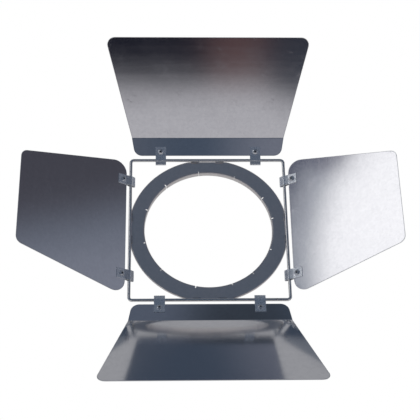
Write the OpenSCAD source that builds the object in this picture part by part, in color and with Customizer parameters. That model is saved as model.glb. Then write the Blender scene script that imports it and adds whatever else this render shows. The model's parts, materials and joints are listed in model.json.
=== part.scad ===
// Four-leaf barn door for a round stage lamp.
// A square of bent rod carries a pressed ring with a collar at its back. Four sheet leaves
// swing on the rod, each held by two folded strip clips that a screw and nut draw tight.
// The object lies on the back rim of its collar, and the beam leaves along +Z.

/* [Rod frame] */
// Side of the square that the rod's centreline follows
frame_side = 250; // [246:1:260]
// Diameter of the rod
rod_d = 5; // [4:0.5:5]
// Radius of the rod's centreline at each bent corner
rod_bend_r = 5; // [4:0.5:10]

/* [Ring] */
// Radius of the opening for the beam
aperture_r = 102; // [96:0.5:104]
// Outer radius of the ring, before the four flats cut it
ring_r = 127.5; // [126:0.5:130]
// Thickness of the ring's sheet
ring_sheet = 1.2; // [1:0.1:1.5]
// Depth of the collar behind the ring's back face
collar_depth = 8; // [7:0.5:12]
// Depth of the turned lip on the ring's outer arcs
lip_depth = 1.8; // [1.5:0.1:3]
// Radius outside each bend of the ring's sheet
ring_bend_r = 2.4; // [2:0.1:2.8]
// Number of relief slits in the collar
collar_slits = 12; // [6:1:12]
// Width of each relief slit
slit_w = 1.6; // [1:0.1:3]
// Height of the rod's axis above the ring's front face
rod_above_ring = 1.4; // [1.2:0.1:1.4]

/* [Leaves] */
// Thickness of the leaves' sheet
leaf_sheet = 1; // [0.8:0.1:1.2]
// Distance from the rod's axis to a leaf's inner edge
leaf_setback = 8; // [7:0.5:8.5]
// Radius of the leaves' outer corners
outer_corner_r = 12; // [4:1:20]

/* [Upper and lower leaves] */
// Width of the hinge strip at its inner edge
strip_inner_w = 240; // [230:1:244]
// Width at the fold between strip and panel
fold_w = 250.4; // [240:0.2:260]
// Width of the panel's outer edge
panel_outer_w = 334; // [280:1:340]
// Distance from the rod's axis to the fold
fold_distance = 38.2; // [34:0.2:44]
// Length of the panel beyond the fold
panel_length = 165.3; // [120:0.1:170]
// Angle of the fold, towards the beam
fold_angle = 25.6; // [15:0.1:30]
// Radius of the fold at the middle of the sheet
fold_r = 2.5; // [2:0.1:4]
// Radius of the hinge strip's inner corners
strip_corner_r = 14; // [3:0.5:18]
// Distance of each clip from the middle of the leaf
wide_clip_x = 77.7; // [72:0.1:80]
// Sideways shift of the upper leaf along its rod
upper_shift = 1.5; // [-1:0.1:1.5]

/* [Side leaves] */
// Width at the inner edge, measured to the sharp corners
side_inner_w = 241; // [230:1:242]
// Width of the outer edge
side_outer_w = 156; // [120:1:180]
// Distance from the rod's axis to the outer edge
side_length = 197; // [150:1:198]
// Radius of the inner corners
side_corner_r = 20; // [14:1:21]
// Distance of each clip from the middle of the leaf
side_clip_x = 84.2; // [82:0.1:85]
// Sideways shift of both side leaves along their rods
side_shift = 1.2; // [-1.2:0.1:1.2]

/* [Hinge clips] */
// Width of the clip's strip
clip_w = 17; // [12:0.5:18]
// Thickness of the clip's strip
clip_sheet = 1; // [0.8:0.1:1]
// Radial gap between the rod and the clip's saddle
saddle_gap = 0.06; // [0.02:0.01:0.1]
// Distance from the rod's axis to the centre of the closed bend
clip_bend_x = 6; // [5.5:0.1:6.2]
// Inside radius of the closed bend
clip_bend_r = 1.2; // [1:0.1:1.4]
// Distance from the rod's axis to the ends of the flaps
clip_flap_x = 23; // [21:0.5:26]

/* [Fasteners] */
// Distance from the rod's axis to the screw
screw_x = 14.5; // [14:0.1:15.5]
// Diameter of the screw's thread, taken as a plain shank
screw_d = 3.9; // [3.9:0.05:4]
// Diameter of the holes that the screw passes through
hole_d = 4.3; // [4.3:0.1:4.5]
// Diameter of the screw's head
head_d = 9.4; // [8:0.1:9.6]
// Height of the screw's head
head_h = 2.5; // [2:0.1:2.5]
// Height of the straight rim under the domed head
head_rim_h = 0.5; // [0.4:0.1:0.8]
// Length of the screw under its head
screw_len = 8; // [8:0.5:10]
// Size of the nut across its flats
nut_flats = 7; // [6:0.1:8]
// Height of the nut
nut_h = 3.2; // [2.4:0.1:3.2]
// Outer diameter of the washer
washer_d = 9; // [8:0.1:10]
// Thickness of the washer
washer_h = 0.8; // [0.5:0.1:0.8]

/* [Opening angles] */
// Angle of the upper leaf's strip above the frame's plane
upper_angle = 15.7; // [0:0.1:60]
// Angle of the lower leaf's strip above the frame's plane
lower_angle = 11.5; // [0:0.1:60]
// Angle of the left leaf above the frame's plane
left_angle = 34; // [5:0.1:60]
// Angle of the right leaf above the frame's plane
right_angle = 33.1; // [5:0.1:60]

/* [Hidden] */

$fn = 64;
eps = 0.5;
half_frame = frame_side / 2;
rod_r = rod_d / 2;
rod_run = frame_side - 2 * rod_bend_r;
ring_back_z = collar_depth;
ring_front_z = collar_depth + ring_sheet;
rod_z = ring_front_z + rod_above_ring;
// The flats stop just short of the rod's inner side
flat_gap = 0.1;
flat_at = half_frame - rod_r + flat_gap;
bend_in_r = ring_bend_r - ring_sheet;
bend_z = ring_front_z - ring_bend_r;
arc_steps = 6;
// Bearing of each slit, and its share of the slit width: the slits are cut by hand, unevenly
slit_turns = [[10, 1], [32, 1], [65, 0.35], [98, 0.35], [131, 1], [161, 1],
              [194, 1], [224, 1], [258, 1], [290, 1], [311, 1], [339, 1]];
slit_len = 4.2;
// Between the collar's wall and the lip, where the node of the collar ends
ring_split_r = (aperture_r + ring_r) / 2;
// Weld beads join the ring's flats to the rod, two on each flat
weld_r = 1.6;
weld_len = 14;
weld_spread = 20;
weld_drop = 1.2;
butt_x = 104;
butt_r = 3.1;
butt_len = 3;
// The clip's inner and outer faces either side of the rod
saddle_r = rod_r + saddle_gap;
clip_out_r = saddle_r + clip_sheet;
bend_out_r = clip_bend_r + clip_sheet;
half_leaf = leaf_sheet / 2;
flap_top = half_leaf + clip_sheet;
flap_from = 9;
// Keeps each straight side just inside the circle that it leaves
tuck = 0.96;
// The fold's tangent length, which the strip gives up to the bend
fold_trim = fold_r * tan(fold_angle / 2);
corner_steps = 8;
strip_end = fold_distance - fold_trim;
// How far a blank runs past the outline that it is cut to
overlong = 3;
recess_w = 1;
recess_len = 4.8;
recess_depth = 1.3;
dome_h = head_h - head_rim_h;
dome_r = (head_d * head_d / 4 + dome_h * dome_h) / (2 * dome_h);

// Points on an arc round a centre, from one angle to another
function arc(centre, r, from, to, steps) =
    [for (i = [0:steps]) centre + r * [cos(from + (to - from) * i / steps),
                                       sin(from + (to - from) * i / steps)]];

function unit(v) = v / norm(v);

// The rounded corner at b, on an outline that runs anticlockwise from a to c
function round_corner(a, b, c, r) =
    let (u = unit(a - b), w = unit(c - b), half = acos(u * w) / 2,
         centre = b + unit(u + w) * r / sin(half),
         start = b + u * r / tan(half) - centre,
         from = atan2(start[1], start[0]))
    arc(centre, r, from, from + 180 - 2 * half, corner_steps);

// An outline through the points p, anticlockwise, with the radius r[i] at the corner p[i]
function rounded_outline(p, r) =
    let (n = len(p))
    [for (i = [0:n - 1], q = r[i] > 0
        ? round_corner(p[(i + n - 1) % n], p[i], p[(i + 1) % n], r[i])
        : [p[i]]) q];

// The hinge strip, which carries on at its full width to the middle of the fold
function strip_outline() =
    let (x0 = strip_inner_w / 2, x1 = fold_w / 2, y0 = leaf_setback, y1 = strip_end,
         y2 = strip_end + fold_trim, r = strip_corner_r)
    rounded_outline([[-x0, y0], [x0, y0], [x1, y1], [x1, y2], [-x1, y2], [-x1, y1]],
                    [r, r, 0, 0, 0, 0]);

// The flared panel, which starts at the middle of the fold
function panel_outline() =
    let (x0 = fold_w / 2, x1 = panel_outer_w / 2, y1 = panel_length - fold_trim,
         r = outer_corner_r)
    rounded_outline([[-x0, -fold_trim], [x0, -fold_trim], [x0, 0], [x1, y1], [-x1, y1], [-x0, 0]],
                    [0, 0, 0, r, r, 0]);

function side_outline() =
    let (x0 = side_inner_w / 2, x1 = side_outer_w / 2, r0 = side_corner_r, r1 = outer_corner_r)
    rounded_outline([[-x0, leaf_setback], [x0, leaf_setback], [x1, side_length], [-x1, side_length]],
                    [r0, r0, r1, r1]);

// Puts a leaf's own frame on its rod: x along the rod, y away from the lamp's axis
module on_rod(turn, angle, shift = 0) {
    rotate([0, 0, turn])
        translate([shift, half_frame, rod_z])
            rotate([angle, 0, 0])
                children();
}

module on_upper() { on_rod(0, upper_angle, upper_shift) children(); }
module on_lower() { on_rod(180, lower_angle) children(); }
module on_left() { on_rod(90, left_angle, side_shift) children(); }
module on_right() { on_rod(-90, right_angle, -side_shift) children(); }

module at_both(x) {
    for (side = [-1, 1])
        translate([side * x, 0, 0]) children();
}

module rod_solid() {
    for (i = [0:3])
        rotate([0, 0, 90 * i]) {
            translate([-rod_run / 2, half_frame, rod_z])
                rotate([0, 90, 0])
                    cylinder(h = rod_run, r = rod_r);
            translate([half_frame - rod_bend_r, half_frame - rod_bend_r, rod_z])
                rotate_extrude(angle = 90)
                    translate([rod_bend_r, 0])
                        circle(r = rod_r);
        }
}

module rod_frame() {
    color("#8d9298") rod_solid();
}

// Section of the ring: collar, face and lip, with a round bend between each
function ring_section() = concat(
    [[aperture_r, 0]],
    arc([aperture_r + ring_bend_r, bend_z], ring_bend_r, 180, 90, arc_steps),
    arc([ring_r - ring_bend_r, bend_z], ring_bend_r, 90, 0, arc_steps),
    [[ring_r, ring_back_z - lip_depth], [ring_r - ring_sheet, ring_back_z - lip_depth]],
    arc([ring_r - ring_bend_r, bend_z], bend_in_r, 0, 90, arc_steps),
    arc([aperture_r + ring_bend_r, bend_z], bend_in_r, 90, 180, arc_steps),
    [[aperture_r + ring_sheet, 0]]
);

module ring_solid() {
    difference() {
        intersection() {
            rotate_extrude($fn = 180) polygon(ring_section());
            translate([-flat_at, -flat_at, -eps])
                cube([2 * flat_at, 2 * flat_at, ring_front_z + 2 * eps]);
        }
        for (i = [0:collar_slits - 1])
            let (w = slit_turns[i][1] * slit_w)
                rotate([0, 0, slit_turns[i][0]])
                    translate([aperture_r - eps, -w / 2, -eps])
                        cube([slit_len, w, ring_front_z + 2 * eps]);
    }
}

// The pressed ring is one sheet, kept as two nodes that meet where the collar starts to bend
module ring_plate() {
    color("#5b6270")
        difference() {
            ring_solid();
            translate([0, 0, -eps]) cylinder(h = bend_z + eps, r = ring_split_r);
        }
}

module ring_collar() {
    color("#5b6270")
        intersection() {
            ring_solid();
            translate([0, 0, -eps]) cylinder(h = bend_z + eps, r = ring_split_r);
        }
}

module ring_welds() {
    color("#9a9da1")
        difference() {
            for (i = [0:3], side = [-1, 1])
                rotate([0, 0, 90 * i])
                    translate([side * weld_spread - weld_len / 2, flat_at - weld_drop / 2,
                               ring_front_z + weld_drop / 4])
                        rotate([0, 90, 0])
                            cylinder(h = weld_len, r = weld_r);
            rod_solid();
            translate([-flat_at, -flat_at, -eps])
                cube([2 * flat_at, 2 * flat_at, ring_front_z + eps]);
            // Nothing of a bead hangs below the ring's front face
            translate([-half_frame, -half_frame, ring_front_z - 2 * weld_r])
                cube([frame_side, frame_side, 2 * weld_r]);
        }
}

module rod_butt_weld() {
    color("#a3a6aa")
        translate([butt_x - butt_len / 2, -half_frame, rod_z])
            rotate([0, 90, 0])
                difference() {
                    cylinder(h = butt_len, r = butt_r);
                    translate([0, 0, -eps]) cylinder(h = butt_len + 2 * eps, r = rod_r);
                }
}

module screw_holes(x) {
    at_both(x)
        translate([0, screw_x, -leaf_sheet])
            cylinder(h = 2 * leaf_sheet, d = hole_d);
}

// Section of the bent sheet: the strip, the round fold and the panel, both ends overlong
function bent_section() =
    let (axis = [strip_end, fold_r], out = [cos(fold_angle), sin(fold_angle)] * overlong,
         low = arc(axis, fold_r + half_leaf, -90, fold_angle - 90, corner_steps),
         high = arc(axis, fold_r - half_leaf, fold_angle - 90, -90, corner_steps),
         tip = [cos(fold_angle), sin(fold_angle)] * (panel_length - fold_trim))
    concat([[0, -half_leaf]], low,
           [low[corner_steps] + tip + out, high[0] + tip + out], high, [[0, half_leaf]]);

// An upper or lower leaf: a bent sheet cut to the outlines of its hinge strip and its panel
module wide_leaf() {
    intersection() {
        translate([-panel_outer_w, 0, 0])
            rotate([90, 0, 90])
                linear_extrude(2 * panel_outer_w) polygon(bent_section());
        union() {
            translate([0, 0, -overlong])
                linear_extrude(2 * overlong) polygon(strip_outline());
            translate([0, strip_end + fold_r * sin(fold_angle), fold_r * (1 - cos(fold_angle))])
                rotate([fold_angle, 0, 0])
                    translate([0, 0, -overlong])
                        linear_extrude(2 * overlong) polygon(panel_outline());
        }
    }
}

module drilled_wide_leaf() {
    color("#8a8f99")
        difference() {
            wide_leaf();
            screw_holes(wide_clip_x);
        }
}

// A side leaf: one flat sheet that narrows towards its outer edge
module drilled_side_leaf() {
    color("#a6a8ae")
        difference() {
            translate([0, 0, -half_leaf])
                linear_extrude(leaf_sheet) polygon(side_outline());
            screw_holes(side_clip_x);
        }
}

// The clip's section: round the rod, round the closed bend, and out along the two flaps
module clip_section(width, r_rod, r_bend, half_flap, flap_end) {
    translate([-width / 2, 0, 0])
        rotate([90, 0, 90])
            union() {
                cylinder(h = width, r = r_rod);
                translate([-clip_bend_x, 0, 0]) cylinder(h = width, r = r_bend);
                linear_extrude(width)
                    polygon([
                        [-clip_bend_x, -r_bend * tuck], [0, -r_rod * tuck],
                        [flap_from, -half_flap], [flap_end, -half_flap],
                        [flap_end, half_flap], [flap_from, half_flap],
                        [0, r_rod * tuck], [-clip_bend_x, r_bend * tuck]
                    ]);
            }
}

module clip() {
    color("#b9c0c8")
        difference() {
            clip_section(clip_w, clip_out_r, bend_out_r, flap_top, clip_flap_x);
            clip_section(clip_w + 2 * eps, saddle_r, clip_bend_r, half_leaf, clip_flap_x + eps);
            translate([0, screw_x, -2 * flap_top])
                cylinder(h = 4 * flap_top, d = hole_d);
        }
}

module screw() {
    color("#9aa3ad")
        difference() {
            union() {
                translate([0, 0, flap_top])
                    cylinder(h = head_rim_h, d = head_d);
                translate([0, 0, flap_top + head_rim_h])
                    intersection() {
                        cylinder(h = dome_h, d = head_d);
                        translate([0, 0, dome_h - dome_r]) sphere(r = dome_r);
                    }
                translate([0, 0, flap_top - screw_len])
                    cylinder(h = screw_len, d = screw_d);
            }
            for (turn = [0, 90])
                rotate([0, 0, turn])
                    translate([-recess_len / 2, -recess_w / 2, flap_top + head_h - recess_depth])
                        cube([recess_len, recess_w, recess_depth + eps]);
        }
}

module washer() {
    color("#aab0b7")
        translate([0, 0, -flap_top - washer_h])
            difference() {
                cylinder(h = washer_h, d = washer_d);
                translate([0, 0, -eps]) cylinder(h = washer_h + 2 * eps, d = hole_d);
            }
}

module nut() {
    color("#9ea5ad")
        translate([0, 0, -flap_top - washer_h - nut_h])
            difference() {
                cylinder(h = nut_h, r = nut_flats / sqrt(3), $fn = 6);
                translate([0, 0, -eps]) cylinder(h = nut_h + 2 * eps, d = screw_d + 0.1);
            }
}

module upper_leaf() { on_upper() drilled_wide_leaf(); }
module upper_clip_a() { on_upper() translate([-wide_clip_x, 0, 0]) clip(); }
module upper_clip_b() { on_upper() translate([wide_clip_x, 0, 0]) clip(); }
module upper_screws() { on_upper() at_both(wide_clip_x) translate([0, screw_x, 0]) screw(); }
module upper_washers() { on_upper() at_both(wide_clip_x) translate([0, screw_x, 0]) washer(); }
module upper_nuts() { on_upper() at_both(wide_clip_x) translate([0, screw_x, 0]) nut(); }

module lower_leaf() { on_lower() drilled_wide_leaf(); }
module lower_clip_a() { on_lower() translate([-wide_clip_x, 0, 0]) clip(); }
module lower_clip_b() { on_lower() translate([wide_clip_x, 0, 0]) clip(); }
module lower_screws() { on_lower() at_both(wide_clip_x) translate([0, screw_x, 0]) screw(); }
module lower_washers() { on_lower() at_both(wide_clip_x) translate([0, screw_x, 0]) washer(); }
module lower_nuts() { on_lower() at_both(wide_clip_x) translate([0, screw_x, 0]) nut(); }

module left_leaf() { on_left() drilled_side_leaf(); }
module left_clip_a() { on_left() translate([-side_clip_x, 0, 0]) clip(); }
module left_clip_b() { on_left() translate([side_clip_x, 0, 0]) clip(); }
module left_screws() { on_left() at_both(side_clip_x) translate([0, screw_x, 0]) screw(); }
module left_washers() { on_left() at_both(side_clip_x) translate([0, screw_x, 0]) washer(); }
module left_nuts() { on_left() at_both(side_clip_x) translate([0, screw_x, 0]) nut(); }

module right_leaf() { on_right() drilled_side_leaf(); }
module right_clip_a() { on_right() translate([-side_clip_x, 0, 0]) clip(); }
module right_clip_b() { on_right() translate([side_clip_x, 0, 0]) clip(); }
module right_screws() { on_right() at_both(side_clip_x) translate([0, screw_x, 0]) screw(); }
module right_washers() { on_right() at_both(side_clip_x) translate([0, screw_x, 0]) washer(); }
module right_nuts() { on_right() at_both(side_clip_x) translate([0, screw_x, 0]) nut(); }

rod_frame();
ring_plate();
ring_collar();
ring_welds();
rod_butt_weld();
upper_leaf();
upper_clip_a();
upper_clip_b();
upper_screws();
upper_washers();
upper_nuts();
lower_leaf();
lower_clip_a();
lower_clip_b();
lower_screws();
lower_washers();
lower_nuts();
left_leaf();
left_clip_a();
left_clip_b();
left_screws();
left_washers();
left_nuts();
right_leaf();
right_clip_a();
right_clip_b();
right_screws();
right_washers();
right_nuts();
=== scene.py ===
# %% [markdown]
# # A four-leaf barn door in bent sheet and rod
#
# A barn door hangs on the front of a stage lamp and cuts the edges of its beam. This one is a
# square of bent rod with a pressed ring inside it. Four sheet-metal leaves swing on the rod, held
# by folded strip clips. The solid model already fixes every size and hinge, so this lesson only
# reads it, and then makes each piece again with softened edges, threads and real finishes.

# %% Load the frame
import json
import math

import bmesh
import bpy
from mathutils import Matrix, Vector, noise


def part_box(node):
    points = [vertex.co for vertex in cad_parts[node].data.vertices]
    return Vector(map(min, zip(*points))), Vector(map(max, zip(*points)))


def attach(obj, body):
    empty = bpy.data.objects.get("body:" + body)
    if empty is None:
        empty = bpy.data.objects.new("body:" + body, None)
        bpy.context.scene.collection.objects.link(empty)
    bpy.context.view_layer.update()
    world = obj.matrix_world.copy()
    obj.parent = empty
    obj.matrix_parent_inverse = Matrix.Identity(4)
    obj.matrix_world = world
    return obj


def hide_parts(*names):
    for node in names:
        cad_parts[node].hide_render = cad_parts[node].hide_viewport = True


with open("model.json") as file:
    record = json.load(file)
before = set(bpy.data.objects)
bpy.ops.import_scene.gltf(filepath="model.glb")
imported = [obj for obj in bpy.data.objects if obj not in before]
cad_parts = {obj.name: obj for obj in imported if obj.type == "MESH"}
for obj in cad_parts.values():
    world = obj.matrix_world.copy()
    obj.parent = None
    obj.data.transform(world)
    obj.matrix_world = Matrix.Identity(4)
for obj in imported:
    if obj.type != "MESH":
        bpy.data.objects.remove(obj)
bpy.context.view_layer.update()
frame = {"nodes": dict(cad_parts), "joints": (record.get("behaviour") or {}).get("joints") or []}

MM = 0.001

# %% [markdown]
# ## Measure before making
#
# A maker measures the drawing first. Every door gets its own axes, with x along its rod, y out
# along the sheet and z towards the beam, so one recipe serves all four. The washers and nuts sit
# on the same bolts, and the line between them is the sheet's true normal.

# %% Axes of each door
DOORS = ("upper", "lower", "left", "right")
FRAME_BODY = "frame"


def middle(node):
    low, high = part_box(node)
    return (low + high) / 2


def door_axes(door):
    joint = next(j for j in frame["joints"] if j["child"] == door + "_door")
    along = Vector(joint["axis"]).normalized()
    normal = (middle(door + "_washers") - middle(door + "_nuts")).normalized()
    outward = normal.cross(along)
    hinge = Vector(joint["pos_m"])
    axes = Matrix((along, outward, normal)).transposed().to_4x4()
    axes.translation = hinge + along * (middle(door + "_washers") - hinge).dot(along)
    return axes


axes_of = {door: door_axes(door) for door in DOORS}
for door in DOORS:
    tilt = math.degrees(math.asin(axes_of[door].col[1].z))
    print(door, "door leans", round(tilt, 1), "degrees above the ring")


def solids_of(node, axes=Matrix.Identity(4)):
    """The corner points of each separate solid in a node, in the given axes."""
    bm = bmesh.new()
    bm.from_mesh(frame["nodes"][node].data)
    bmesh.ops.transform(bm, matrix=axes.inverted(), verts=bm.verts)
    bmesh.ops.remove_doubles(bm, verts=bm.verts, dist=0.001 * MM)
    solids, left = [], set(bm.verts)
    while left:
        group, edge = set(), {left.pop()}
        while edge:
            group |= edge
            edge = {e.other_vert(v) for v in edge for e in v.link_edges} - group
        left -= group
        solids.append([v.co.copy() for v in group])
    bm.free()
    return solids


def box_of(points):
    """The low and the high corner of the box round some points."""
    return Vector(map(min, zip(*points))), Vector(map(max, zip(*points)))


def islands(node, axes=Matrix.Identity(4)):
    """The (low, high) box of each separate solid in a node, in the given axes, sorted by x."""
    boxes = [box_of(points) for points in solids_of(node, axes)]
    return sorted(boxes, key=lambda box: tuple(box[0]))


# %% [markdown]
# ## The camera
#
# The view is a catalogue view: a long lens, from in front of the lower door and well above it.
# The distance and the turn about the line of sight set how much the far door shrinks and leans.

# %% Camera
CAMERA_AZIMUTH = -4.03
CAMERA_ELEVATION = 61.68
CAMERA_ROLL = 3.42
CAMERA_DISTANCE = 1.8518
AIM = middle("rod_frame") + Vector((0.0030, 0.0325, 0.0))
SENSOR = 36.0
LENS = 98.74


def look_from(azimuth, elevation, roll):
    """A rotation that looks along the azimuth, down by the elevation, turned by the roll."""
    turn = Matrix.Rotation(math.radians(azimuth), 4, "Z")
    tip = Matrix.Rotation(math.radians(90 - elevation), 4, "X")
    return turn @ tip @ Matrix.Rotation(math.radians(roll), 4, "Z")


def linked(name, data):
    """A new object in the scene, with the given data."""
    made = bpy.data.objects.new(name, data)
    bpy.context.scene.collection.objects.link(made)
    return made


camera = linked("camera", bpy.data.cameras.new("camera"))
facing = look_from(CAMERA_AZIMUTH, CAMERA_ELEVATION, CAMERA_ROLL)
camera.matrix_world = Matrix.Translation(AIM + facing.col[2].xyz * CAMERA_DISTANCE) @ facing
camera.data.sensor_width = SENSOR
camera.data.lens = LENS
camera.data.clip_end = 50
bpy.context.scene.camera = camera
print("camera at", [round(value, 3) for value in camera.matrix_world.translation])

# %% [markdown]
# ## The studio
#
# Polished sheet has almost no colour of its own: it shows the room. The room is therefore part of
# the finish. It is a dark ceiling, walls as pale bands that climb above the horizon, one large
# soft box, and the cards, cloths and flags that a studio sets round polished metal. A world shader
# paints them by direction alone, with smooth steps between, which keeps the light free of noise.

# %% Node helpers
def node(tree, kind, label="", **inputs):
    """Adds a shader node and sets its inputs, where a value that is a socket is linked."""
    made = tree.nodes.new(kind)
    if label:
        made.label = label
    for name, value in inputs.items():
        feed(tree, made.inputs[name.replace("_", " ")], value)
    return made


def feed(tree, socket, value):
    if isinstance(value, bpy.types.NodeSocket):
        tree.links.new(value, socket)
    else:
        socket.default_value = value


def maths(tree, operation, *values):
    made = tree.nodes.new("ShaderNodeMath")
    made.operation = operation
    for socket, value in zip(made.inputs, values):
        feed(tree, socket, value)
    return made.outputs[0]


def vector_maths(tree, operation, *values):
    made = tree.nodes.new("ShaderNodeVectorMath")
    made.operation = operation
    for socket, value in zip(made.inputs, values):
        feed(tree, socket, value)
    return made.outputs["Value" if operation == "DOT_PRODUCT" else "Vector"]


def ramp_between(tree, value, low, high, start=0.0, end=1.0):
    """A smooth step from start to end as the value goes from low to high."""
    made = node(tree, "ShaderNodeMapRange")
    made.interpolation_type = "SMOOTHSTEP"
    for name, number in zip(("Value", "From Min", "From Max", "To Min", "To Max"),
                            (value, low, high, start, end)):
        feed(tree, made.inputs[name], number)
    return made.outputs["Result"]


def xyz(tree, **parts):
    """A vector put together from its X, Y and Z."""
    return node(tree, "ShaderNodeCombineXYZ", **parts).outputs[0]


def mix(tree, factor, first, second, blend="MIX"):
    made = tree.nodes.new("ShaderNodeMix")
    made.data_type = "RGBA"
    made.blend_type = blend
    feed(tree, made.inputs["Factor"], factor)
    feed(tree, made.inputs["A"], first)
    feed(tree, made.inputs["B"], second)
    return made.outputs["Result"]


# %% The room
def direction(azimuth, elevation):
    """A unit vector. Azimuth 0 is +Y, 90 is +X."""
    a, e = math.radians(azimuth), math.radians(elevation)
    return (math.sin(a) * math.cos(e), math.cos(a) * math.cos(e), math.sin(e))


def sin_deg(angle):
    return math.sin(math.radians(angle))


def cos_deg(angle):
    return math.cos(math.radians(angle))


CEILING = (0.066, 0.090, 0.132, 1)
world = bpy.data.worlds.new("studio")
bpy.context.scene.world = world
world.use_nodes = True
room = world.node_tree
room.nodes.clear()
ray = node(room, "ShaderNodeTexCoord").outputs["Generated"]
height = node(room, "ShaderNodeSeparateXYZ", Vector=ray).outputs["Z"]
level = vector_maths(room, "NORMALIZE", vector_maths(room, "MULTIPLY", ray, (1, 1, 0)))

# Each band: azimuth, half width, edge softness, top elevation, top softness, colour
BANDS = (
    ("far wall", 0, 52, 10, 39.5, 4.0, (0.18, 0.20, 0.237, 1)),
    ("curtain beside the far wall", 52, 7.5, 1.8, 60, 10, (0.068, 0.068, 0.086, 1)),
    ("right wall", 92, 32, 2.6, 34, 6, (0.226, 0.244, 0.30, 1)),
    ("left wall", 274, 44, 8, 29.5, 1.5, (0.36, 0.385, 0.44, 1)),
    ("gap under the soft box", 302, 10, 3, 26.7, 0.45, (0.05, 0.06, 0.105, 1)),
    ("far end of the sweep", 0, 14, 4, -1.0, 2.0, (0.37, 0.375, 0.395, 1)),
    ("dark opening over the near cloth", 180, 52, 10, 62, 8, (0.008, 0.009, 0.018, 1)),
    ("warm light in the opening", 175.2, 1.6, 1.6, 46.0, 3.0, (0.105, 0.060, 0.062, 1)),
    ("near cloth", 180, 62, 16, 41.75, 1.0, (0.515, 0.51, 0.54, 1)),
)
# Each lamp: azimuth, elevation, radius, softness, colour
LAMPS = (
    ("soft box", 301.6, 37.0, 8.9, 0.7, (1.20, 1.20, 1.225, 1)),
    ("card over the right door", 90, 81.0, 5.5, 2.0, (0.185, 0.20, 0.25, 1)),
    ("card over the left door", 270, 84.0, 4.0, 2.5, (0.12, 0.135, 0.172, 1)),
    ("pale beam over the far wall", -2.5, 45.5, 4.5, 3.5, (0.10, 0.12, 0.165, 1)),
    ("shadow beside the beam", 5.0, 44.5, 2.0, 2.0, (0.036, 0.045, 0.060, 1)),
    ("shadow at the cloth's end", 171.0, 42.7, 1.5, 1.3, (0.030, 0.036, 0.052, 1)),
    ("fill below the soft box", 302.5, 20.5, 3.8, 1.0, (1.20, 1.20, 1.225, 1)),
    ("flag beside the soft box", 305.9, 27.4, 1.4, 0.45, (0.10, 0.105, 0.16, 1)),
)
colour = CEILING
for label, azimuth, half, soft, top, top_soft, tone in BANDS:
    facing_it = vector_maths(room, "DOT_PRODUCT", level, direction(azimuth, 0))
    across = ramp_between(room, facing_it, cos_deg(half + soft), cos_deg(half - soft))
    upright = ramp_between(room, height, sin_deg(top + top_soft), sin_deg(top - top_soft))
    colour = mix(room, maths(room, "MULTIPLY", across, upright), colour, tone)
for label, azimuth, elevation, radius, soft, tone in LAMPS:
    facing_it = vector_maths(room, "DOT_PRODUCT", ray, direction(azimuth, elevation))
    inside = ramp_between(room, facing_it, cos_deg(radius + soft), cos_deg(radius - soft))
    colour = mix(room, inside, colour, tone)
seen = node(room, "ShaderNodeLightPath").outputs["Is Camera Ray"]
background = node(room, "ShaderNodeBackground", Color=mix(room, seen, colour, (1, 1, 1, 1)),
                  Strength=1.0)
node(room, "ShaderNodeOutputWorld", Surface=background.outputs[0])
bpy.context.scene.view_settings.view_transform = "Standard"
bpy.context.scene.view_settings.look = "None"
print("room:", len(BANDS), "bands and", len(LAMPS), "lamps")

# %% [markdown]
# The floor is a plain pale sweep, set lower than the doors can swing, as if the piece hung from a
# thread above a white table. A studio burns such a table out to white in the picture, while the
# metal still sees it as a dull card, and the Light Path node keeps those two apart.

# %% Floor
FLOOR_DROP = 0.170
FLOOR_REACH = 0.9
FLOOR_TONE = (0.44, 0.445, 0.46, 1)

floor_mesh = bpy.data.meshes.new("floor")
corners = [(x * FLOOR_REACH, y * FLOOR_REACH, -FLOOR_DROP)
           for x, y in ((-1, -1), (1, -1), (1, 1), (-1, 1))]
floor_mesh.from_pydata(corners, [], [(0, 1, 2, 3)])
floor = linked("floor", floor_mesh)
floor_paint = bpy.data.materials.new("pale sweep")
floor_paint.use_nodes = True
tree = floor_paint.node_tree
tree.nodes.clear()
seen = node(tree, "ShaderNodeLightPath").outputs["Is Camera Ray"]
glow = node(tree, "ShaderNodeEmission", Color=mix(tree, seen, FLOOR_TONE, (1, 1, 1, 1)),
            Strength=1.0)
node(tree, "ShaderNodeOutputMaterial", Surface=glow.outputs[0])
floor_mesh.materials.append(floor_paint)

# %% [markdown]
# ## Surface effects that several metals share
#
# Every metal here has grain from its rolling or drawing, marks from hands and tools, and edges
# that handling has brightened. Each effect is a node group with named inputs, built once and
# placed in each metal with its own values. A group only gives out masks, which the metal then
# mixes into its colour, roughness and bump.

# %% Group helper
def new_group(name, inputs, outputs):
    """An empty shader group. Returns the tree, its input sockets and its output sockets."""
    tree = bpy.data.node_groups.new(name, "ShaderNodeTree")
    for label, kind, value in inputs:
        socket = tree.interface.new_socket(label, in_out="INPUT", socket_type="NodeSocket" + kind)
        socket.default_value = value
    for label in outputs:
        tree.interface.new_socket(label, in_out="OUTPUT", socket_type="NodeSocketFloat")
    return tree, tree.nodes.new("NodeGroupInput").outputs, tree.nodes.new("NodeGroupOutput").inputs


def noise_at(tree, vector, scale, detail=2.0, roughness=0.5):
    return node(tree, "ShaderNodeTexNoise", Vector=vector, Scale=scale, Detail=detail,
                Roughness=roughness).outputs["Fac"]


def place_group(tree, group, **inputs):
    made = tree.nodes.new("ShaderNodeGroup")
    made.node_tree = group
    for name, value in inputs.items():
        feed(tree, made.inputs[name.replace("_", " ")], value)
    return made.outputs


# %% [markdown]
# Rolling and drawing leave long fine lines. Noise that is squeezed across the lines and stretched
# along them gives that grain at any scale, and two sizes of it keep the lines from looking ruled.

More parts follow.
